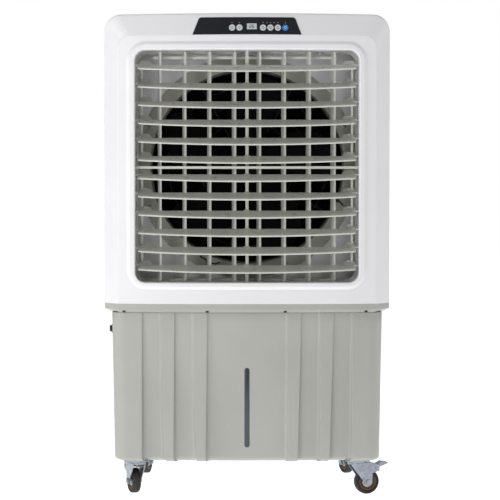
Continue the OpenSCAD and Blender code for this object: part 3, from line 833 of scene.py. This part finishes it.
def blade_section(x):
    """A thin plate with a heavier rounded nose; (chordwise, height) points."""
    front, half_t = blade_front(x), 1.2 * MM
    nose = 2.25 * MM
    points = [(0.6 * MM, -0.6 * MM), (0, -half_t), (front + 9 * MM, -half_t), (front + 6 * MM, -1.9 * MM),
              (front + 3.4 * MM, -nose - 0.6 * MM)]
    for i in range(7):
        t = math.radians(-90 - 30 * i)
        points.append((front + nose + nose * math.cos(t), -0.6 * MM + nose * math.sin(t)))
    points += [(front + 5 * MM, nose - 0.75 * MM), (front + 9 * MM, half_t), (0, half_t),
               (0.6 * MM, 0.6 * MM)]
    return points


def blade_mesh():
    xs = [BLADE_HALF * math.sin(math.radians(90 * i / 36)) for i in range(-36, 37)]
    loops = [[(x, y, z) for y, z in blade_section(x)] for x in xs]
    verts, faces = closed_loft(loops)
    n = len(loops[0])
    faces += [tuple(range(n)), tuple(range(len(verts) - n, len(verts)))]
    parts = [(verts, faces)]
    for s in (-1, 1):
        # ear that carries the link pin: a plate whose inner side slopes
        outline = [(s * 0.2735, -3 * MM), (s * 0.2735, BLADE_LEVER - 6 * MM),
                   (s * 0.2705, BLADE_LEVER + 4 * MM), (s * 0.246, BLADE_LEVER + 4 * MM),
                   (s * 0.2385, -3 * MM)]
        ear = [(x, y, z) for z in (-1.2 * MM, 1.2 * MM) for x, y in outline]
        ear_faces = [tuple(range(5)), tuple(range(5, 10))]
        ear_faces += [(k, (k + 1) % 5, (k + 1) % 5 + 5, k + 5) for k in range(5)]
        parts.append((ear, ear_faces))
        pins = ((BLADE_LEVER, 2.0 * MM, 0.252, 0.2705), (BLADE_LEVER, 3.4 * MM, 0.2545, 0.2618),
                (0, 2.5 * MM, 0.266, OUTLET_HALF + 2.5 * MM), (0, 3.6 * MM, 0.2745, 0.2775))
        for y, r, x0, x1 in pins:
            parts.append(tube([(s * x0, y, 0), (s * x1, y, 0)], r, 16))
    # clip that snaps on the upright
    turns = [math.radians(a) for a in range(0, 360, 15)]
    clip_r = 10.5
    clip = [(clip_r * math.cos(t) * MM, (-5 + clip_r * math.sin(t)) * MM) for t in turns]
    count = len(clip)
    clip_verts = [(x, y, z) for z in (-1.5 * MM, 1.5 * MM) for x, y in clip]
    clip_faces = [tuple(range(count)), tuple(range(count, 2 * count))]
    clip_faces += [(k, (k + 1) % count, (k + 1) % count + count, k + count) for k in range(count)]
    parts.append((clip_verts, clip_faces))
    return joined(*parts)


def blades():
    verts, faces = blade_mesh()
    turn = Matrix.Rotation(BLADE_TILT, 4, "X")
    pivots = {j["child"]: j["pos_m"] for j in frame["joints"] if j["child"] in BLADES}
    for node in BLADES:
        place = Matrix.Translation(pivots[node]) @ turn
        make_piece(node + "_moulding", [place @ Vector(v) for v in verts], faces, "blade",
                   BODY[node], 40, (node,))


def louvre_details():
    refined("louver_frame", "blade", 0.7 * MM)
    for node in ("blade_link_upper", "blade_link_lower"):
        refined(node, "vane", 0.5 * MM)
    for node in sorted(n for n in NODES if n.startswith("vane_")):
        refined(node, "vane", 0.8 * MM)
    refined("swing_crank", "vane", 0.4 * MM)
    refined("swing_motor", "motor", 0.4 * MM)


# ---- fan ----

def screw(centre, axis, radius):
    """Pan head, on an axis that points out."""
    head = [(0, 0.001 * MM), (0, radius), (0.35 * radius, radius), (0.62 * radius, 0.8 * radius),
            (0.75 * radius, 0.45 * radius), (0.78 * radius, 0.001 * MM)]
    return revolved(head, centre, axis, 24)


# Black cross bars standing out of a screw head: painted shade for its cross recess.
def cross_recess_shade(centre, axis, radius):
    axis = Vector(axis).normalized()
    u = axis.orthogonal().normalized()
    v = axis.cross(u)
    parts = []
    for a, b in ((u, v), (v, u)):
        corners = []
        for d in (0.5 * radius, 0.84 * radius):
            for i, j in ((-1, -1), (1, -1), (1, 1), (-1, 1)):
                corners.append(Vector(centre) + axis * d + a * i * 0.55 * radius + b * j * 0.12 * radius)
        parts.append((corners, BOX_FACES))
    return joined(*parts)


def fan_ring():
    refined("fan_ring", "ring", 1.5 * MM, 3)
    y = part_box("fan_ring")[0].y
    heads, recess_shades = [], []
    for k in range(8):
        t = math.radians(22.5 + 45 * k)
        centre = FAN_CENTRE + Vector((0.271 * math.cos(t), y, 0.271 * math.sin(t)))
        heads.append(screw(centre, (0, -1, 0), 5.5 * MM))
        recess_shades.append(cross_recess_shade(centre, (0, -1, 0), 5.5 * MM))
    verts, faces = joined(*heads)
    make_piece("ring_screws", verts, faces, "steel")
    # black cross bars on the screw heads: painted shade of their recesses
    verts, faces = joined(*recess_shades)
    make_piece("ring_screw_recess_shades", verts, faces, "black")
    # motor lead: the two stretches that show on the ring, with their clips
    front = y - 2 * MM
    leads = [[(0.272, 0.712), (0.262, 0.724), (0.250, 0.732), (0.240, 0.744), (0.229, 0.750),
              (0.218, 0.762)],
             [(-0.122, 0.604), (-0.108, 0.596), (-0.094, 0.586), (-0.082, 0.584), (-0.07, 0.588)]]
    runs = [tube([(x, front, z) for x, z in lead], 2 * MM) for lead in leads]
    for x, z in ((0.256, 0.728), (0.234, 0.747), (-0.101, 0.591)):
        half = 4 * MM
        runs.append(cuboid((x - half, y - 5.5 * MM, z - half), (x + half, y + 0.5 * MM, z + half)))
    verts, faces = joined(*runs)
    make_piece("motor_lead", verts, faces, "black")


def fan_blade_mesh(turn):
    """One swept, twisted blade from hub to tip."""
    spans = 18
    around = 14
    loops = []
    for i in range(spans + 1):
        t = i / spans
        radius = (44 + (238 - 44) * t) * MM
        tip = 1 - 0.55 * max(0, t - 0.86) / 0.14
        chord = (74 + 62 * math.sin(math.pi * min(1, 0.15 + 0.62 * t))) * MM * tip
        pitch = math.radians(42 - 22 * t)
        sweep = 0.22 * t * t
        loop = []
        for k in range(around):
            a = 2 * math.pi * k / around
            along = 0.5 * chord * math.cos(a)
            thick = (2.4 - 1.0 * t) * MM * math.sin(a)
            camber = 7 * MM * (1 - (2 * along / chord) ** 2)
            tangent = along * math.cos(pitch) - (thick + camber) * math.sin(pitch)
            axial = along * math.sin(pitch) + (thick + camber) * math.cos(pitch)
            angle = turn + sweep + tangent / radius
            y = -14 * MM + axial * 0.72
            loop.append((radius * math.sin(angle), y, OUTLET_Z + radius * math.cos(angle)))
        loops.append(loop)
    verts, faces = closed_loft(loops)
    faces += [tuple(range(around)), tuple(range(len(verts) - around, len(verts)))]
    return verts, faces


def fan():
    hub = [(-44, 6.05), (-44, 34), (-42, 44), (-36, 50.5), (-30, 52), (18, 52), (18, 47), (-26, 46),
           (-38, 30), (-38, 6.05)]
    parts = [fan_blade_mesh(2 * math.pi * k / 5) for k in range(5)]
    parts.append(revolved([(a * MM, r * MM) for a, r in hub], FAN_CENTRE, (0, 1, 0)))
    verts, faces = joined(*parts)
    make_piece("fan_impeller", verts, faces, "fan", "fan_rotor", 35, ("fan_rotor",))
    refined("fan_motor", "fan", 1.5 * MM, 3)
    NODES["fan_guard"].data.materials.clear()
    NODES["fan_guard"].data.materials.append(MATERIALS["wire"])


# ---- pads and grilles ----

def pad_block(width, height, depth, pitch=13 * MM, wave=15 * MM):
    """Corrugated sheets side by side, each slanting the other way; local x across, y deep, z up."""
    verts, faces = [], []
    count = int(width / (pitch / 2))
    rows = int(height / (wave / 6))
    amplitude = pitch / 4
    thick = 0.35 * MM
    for k in range(count):
        x0 = -width / 2 + (k + 0.5) * width / count
        lean = (0.5 if k % 2 else -0.5) * depth
        start = len(verts)
        for i in range(rows + 1):
            z = height * i / rows
            for y, shift in ((0, 0.0), (depth, lean)):
                x = x0 + amplitude * math.sin(2 * math.pi * (z + shift) / wave + math.pi * (k % 2))
                verts.append((x - thick, y, z))
                verts.append((x + thick, y, z))
        for i in range(rows):
            a, b = start + 4 * i, start + 4 * (i + 1)
            faces += [(a, a + 2, b + 2, b), (a + 1, b + 1, b + 3, a + 3), (a, b, b + 1, a + 1),
                      (a + 2, a + 3, b + 3, b + 2)]
        end = start + 4 * rows
        faces += [(start, start + 1, start + 3, start + 2), (end, end + 2, end + 3, end + 1)]
    return verts, faces


def pads():
    low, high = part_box("cooling_pads")
    height = high.z - low.z - 2 * MM
    parts = []
    verts, faces = pad_block(0.578, height, 36 * MM)
    turn = Matrix.Translation((0, high.y - 1 * MM, low.z + 1 * MM)) @ Matrix.Rotation(math.pi, 4, "Z")
    parts.append(([turn @ Vector(v) for v in verts], faces))
    side_low, side_high = -54 * MM, 183 * MM
    for s in (-1, 1):
        verts, faces = pad_block(side_high - side_low, height, 34 * MM)
        place = (s * (high.x - 1 * MM), (side_low + side_high) / 2, low.z + 1 * MM)
        turn = Matrix.Translation(place) @ Matrix.Rotation(s * math.pi / 2, 4, "Z")
        parts.append(([turn @ Vector(v) for v in verts], faces))
    verts, faces = joined(*parts)
    make_piece("pad_sheets", verts, faces, "paper", replaces=("cooling_pads",))
    # black sheet in the middle of each pad: painted shade, which also stops light passing through the flutes
    core_low, core_high = low.z + 2 * MM, high.z - 2 * MM
    shade_sheets = [cuboid((-0.288, high.y - 22 * MM, core_low), (0.288, high.y - 20 * MM, core_high))]
    for s in (-1, 1):
        a, b = sorted((s * (high.x - 17 * MM), s * (high.x - 19 * MM)))
        shade_sheets.append(cuboid((a, side_low, core_low), (b, side_high, core_high)))
    verts, faces = joined(*shade_sheets)
    make_piece("pad_shade_sheets", verts, faces, "pad_shade_sheet")
    refined("intake_grilles", "white", 0.5 * MM)


# ---- key panel ----

PANEL_AT = Matrix.Translation((0, FACE_Y, BAND_Z)) @ Matrix.Rotation(-BAND_LEAN, 4, "X")


def panel_dots(places, radius, proud):
    parts = []
    for x, z in places:
        y = bow_y(x, 0.0) - proud
        disc = [(0, 0.001 * MM), (0, radius), (0.12 * MM, radius * 0.96), (0.15 * MM, 0.001 * MM)]
        verts, faces = revolved(disc, (x, y, z), (0, -1, 0), 20)
        parts.append(([PANEL_AT @ Vector(v) for v in verts], faces))
    return joined(*parts)


def panel_bar(x0, x1, z0, z1, y, depth=0.12 * MM):
    """A small raised rectangle on the panel."""
    corners = [(x, yy, z) for yy in (y, y - depth) for x, z in ((x0, z0), (x1, z0), (x1, z1), (x0, z1))]
    return ([PANEL_AT @ Vector(c) for c in corners],
            BOX_FACES)


SEGMENTS = {"2": "abged", "6": "acdefg"}
SEGMENT_BARS = {"a": (0, 2, 1, 2), "g": (0, 1, 1, 1), "d": (0, 0, 1, 0), "b": (1, 1, 1, 2),
                "c": (1, 0, 1, 1), "f": (0, 1, 0, 2), "e": (0, 0, 0, 1)}


def digits(text, x, z, y):
    parts = []
    w, h, t = 4.2 * MM, 3.9 * MM, 0.55 * MM
    for i, char in enumerate(text):
        left = x + i * 7 * MM
        for s in SEGMENTS[char]:
            x0, z0, x1, z1 = SEGMENT_BARS[s]
            xs = (left + x0 * w - t, left + x1 * w + t)
            parts.append(panel_bar(*xs, z + z0 * h - t, z + z1 * h + t, y))
    return joined(*parts)


def key_panel():
    refined("control_panel", "panel", 0.35 * MM, 2)
    face = -1.0 * MM
    # display window and its two figures
    verts, faces = panel_bar(-0.2 * MM, 24.2 * MM, 13.6 * MM, 28.6 * MM, face - 0.32 * MM, 0.2 * MM)
    piece = make_piece("display_lens", verts, faces, "lens")
    bevelled(piece, 0.08 * MM, 1, 40)
    verts, faces = digits("26", 6.4 * MM, 17.2 * MM, face - 0.5 * MM)
    make_piece("display_digits", verts, faces, "digit")
    xs = [-37.3, -18.8, 40, 50, 58.5, 68, 77, 95.5]
    verts, faces = panel_dots([(x * MM, 31 * MM) for x in xs], 1.3 * MM, 1.0 * MM)
    make_piece("panel_dots", verts, faces, "mark")


def keys():
    cap = [(9, 0.001), (9, 7.7), (1.0, 7.75), (0.5, 7.6), (0.15, 7.2), (0.1, 6.4), (0.35, 6.0), (0.5, 3.0),
           (0.5, 0.001)]
    ring = [(0.48, 2.3), (0.48, 3.1), (0.3, 3.0), (0.3, 2.4)]
    row_z = 18.2 * MM
    for node in sorted(n for n in NODES if n.startswith("button_")):
        low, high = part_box(node)
        x = (low.x + high.x) / 2
        outer = bow_y(x, 0.0) - 2.4 * MM
        verts, faces = revolved([(a * MM, r * MM) for a, r in cap], (x, outer, row_z), (0, 1, 0), 48)
        verts = [PANEL_AT @ Vector(v) for v in verts]
        make_piece(node + "_cap", verts, faces, "blue" if node == "button_power" else "button",
                   BODY[node], 40, (node,))
        mark = "white" if node == "button_power" else "dark_mark"
        verts, faces = revolved([(a * MM, r * MM) for a, r in ring], (x, outer, row_z), (0, 1, 0), 24)
        verts = [PANEL_AT @ Vector(v) for v in verts]
        make_piece(node + "_mark", verts, faces, mark, BODY[node])


# ---- casters ----

def mirrored(half):
    """A profile given up to its middle, followed by its own mirror image."""
    return half + [(-a, r) for a, r in reversed(half) if a]


def caster_wheels():
    tyre = mirrored([(-9.6, 22.5), (-10.6, 25), (-10.8, 27.5), (-9.8, 30), (-7.6, 31.4), (-5, 31.95),
                     (0, 32)])
    tyre.append((0, 22))
    hub = mirrored([(-9.2, 22.6), (-9.6, 20.5), (-8.6, 18.5), (-6.5, 16.8), (-6.0, 13)])
    core = mirrored([(-13, 4.1), (-13, 8.5), (-11.5, 9.5), (-9, 10), (-8, 13.6)])
    tread_from = 30.6 * MM
    for joint in frame["joints"]:
        node = joint["child"]
        if not node.startswith("caster_wheel_"):
            continue
        centre, axis = Vector(joint["pos_m"]), Vector(joint["axis"])
        body, slot = BODY[node], SLOT[node]
        verts, faces = revolved([(a * MM, r * MM) for a, r in tyre], centre, axis, 72)
        piece = make_piece(node + "_tyre", verts, faces, "wall", body, 45, (node,))
        piece.data.materials.append(MATERIALS["tread"])
        for face in piece.data.polygons:
            offset = Vector(face.center) - centre
            radial = (offset - axis * offset.dot(axis)).length
            if radial > tread_from:
                face.material_index = 1
        verts, faces = revolved([(a * MM, r * MM) for a, r in hub], centre, axis, 72)
        make_piece(node + "_hub", verts, faces, "brown", body, 45)
        verts, faces = revolved([(a * MM, r * MM) for a, r in core], centre, axis, 48)
        make_piece(node + "_core", verts, faces, "zinc", body, 45)


def casters():
    for node in sorted(n for n in NODES if n.startswith("caster_fork_") or n.startswith("brake_")):
        refined(node, "zinc", 0.7 * MM, 3)
    refined("caster_plates", "zinc", 0.5 * MM)
    caster_wheels()


# ---- the rest of the frame ----

def plain_nodes():
    refined("base_deck", "deck", 1.2 * MM, 3, 25)
    refined("water_distributor", "white", 0.8 * MM)
    refined("pump", "black", 1.5 * MM, 3)
    refined("riser_hose", "black", 0.3 * MM)
    refined("tank_fittings", "black", 0.8 * MM, 3)
    refined("float_arm", "zinc", 0.3 * MM)


make_camera()
make_lights()
make_world()
make_floor()
MATERIALS = make_materials()
front_moulding()
housing()
tank()
rim_shadow_strip()
deck_notch_shades()
level_window()
blades()
louvre_details()
fan_ring()
fan()
pads()
key_panel()
keys()
casters()
plain_nodes()

bpy.context.scene.view_settings.view_transform = "Standard"
bpy.context.view_layer.update()
